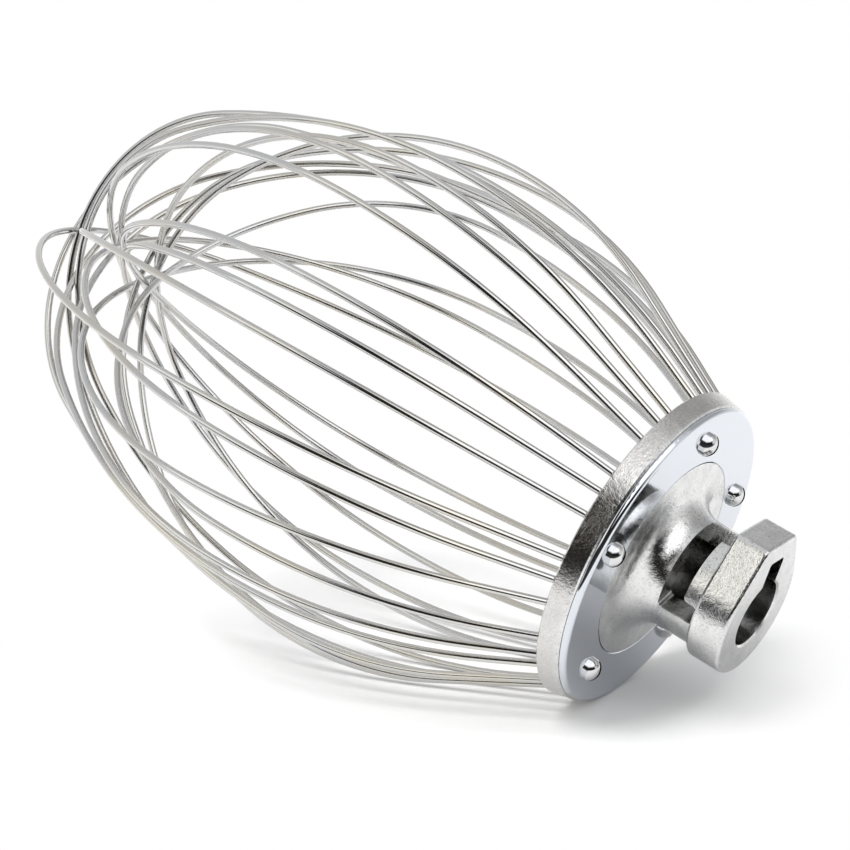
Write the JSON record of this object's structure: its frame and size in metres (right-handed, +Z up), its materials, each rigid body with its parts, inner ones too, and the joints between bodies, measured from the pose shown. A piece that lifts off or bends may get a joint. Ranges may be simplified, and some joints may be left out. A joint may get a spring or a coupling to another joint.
{
  "type": "commercial mixer wire whip",
  "caption": "Balloon wire whip for a planetary food mixer: a bayonet shaft socket on a flanged wire holder, with a cage of crossed wire loops.",
  "frame": {"origin": "middle of the bounding box in X and Y, on the floor that the whip lies on", "axes": "+X from the cage's tip towards the shaft socket, +Z up; the whip lies on the wire holder's rim and on two wires, so its own axis slopes down towards the socket in the XZ plane"},
  "size_m": [0.3344, 0.2214, 0.2192],
  "materials": {
    "cast_aluminium": "tumbled casting",
    "chrome_plate": "mirror",
    "screw_chrome": "bright",
    "stainless_wire": "bright drawn wire"
  },
  "bodies": {
    "root": {"hub_casting": "cast_aluminium", "retaining_plate": "chrome_plate", "retaining_screws": "screw_chrome", "wire_loop_01": "stainless_wire", "wire_loop_02": "stainless_wire", "wire_loop_03": "stainless_wire", "wire_loop_04": "stainless_wire", "wire_loop_05": "stainless_wire", "wire_loop_06": "stainless_wire", "wire_loop_07": "stainless_wire", "wire_loop_08": "stainless_wire", "wire_loop_09": "stainless_wire", "wire_loop_10": "stainless_wire", "wire_loop_11": "stainless_wire", "wire_loop_12": "stainless_wire", "wire_loop_13": "stainless_wire", "wire_loop_14": "stainless_wire", "wire_loop_15": "stainless_wire", "wire_loop_16": "stainless_wire", "wire_loop_17": "stainless_wire"}
  },
  "joints": []
}
